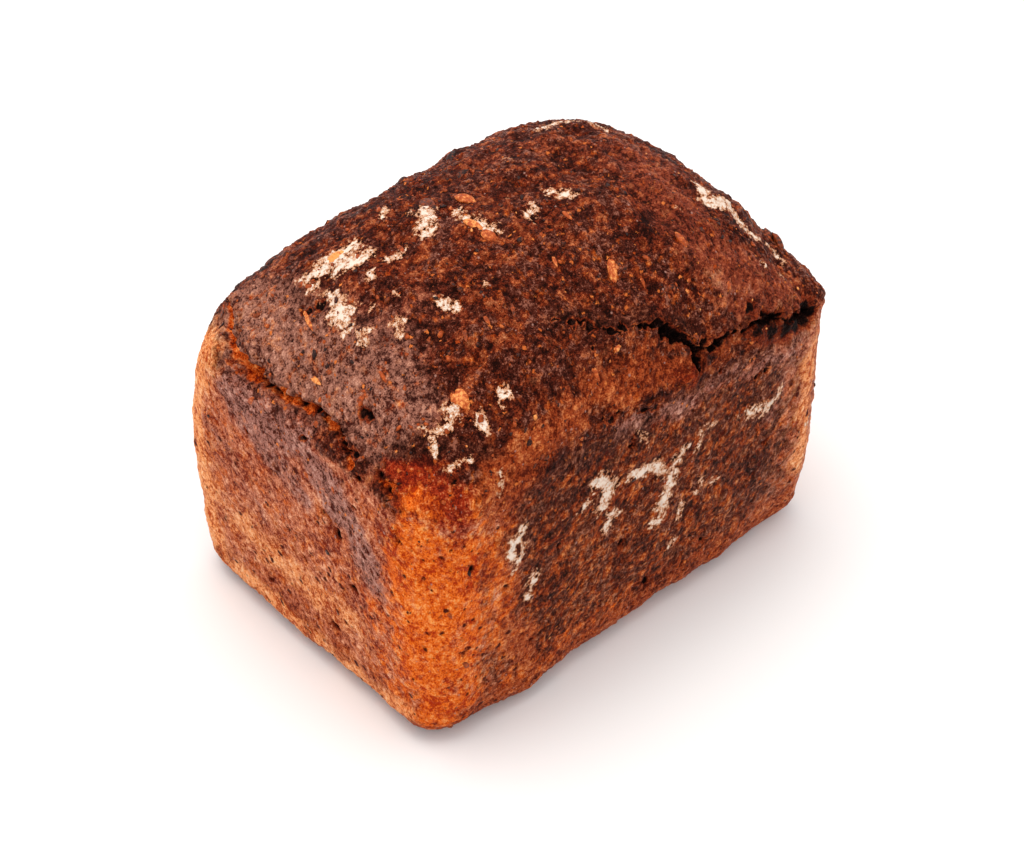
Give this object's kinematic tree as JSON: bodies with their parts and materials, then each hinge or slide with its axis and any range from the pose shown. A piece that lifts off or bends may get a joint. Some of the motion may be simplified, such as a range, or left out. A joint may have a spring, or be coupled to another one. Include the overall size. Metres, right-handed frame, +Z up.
{
  "type": "tin loaf",
  "caption": "Whole dark rye tin loaf with a domed, cracked crust, sunflower kernels and flour dust on top, and four nearly upright walls.",
  "frame": {"origin": "centre of the loaf's box at the height of its flat foot", "axes": "+X along the loaf's length, +Y across it towards the back wall, +Z up"},
  "size_m": [0.1754, 0.1206, 0.1307],
  "materials": {
    "crust": null
  },
  "bodies": {
    "root": {"loaf": "crust"}
  },
  "joints": []
}
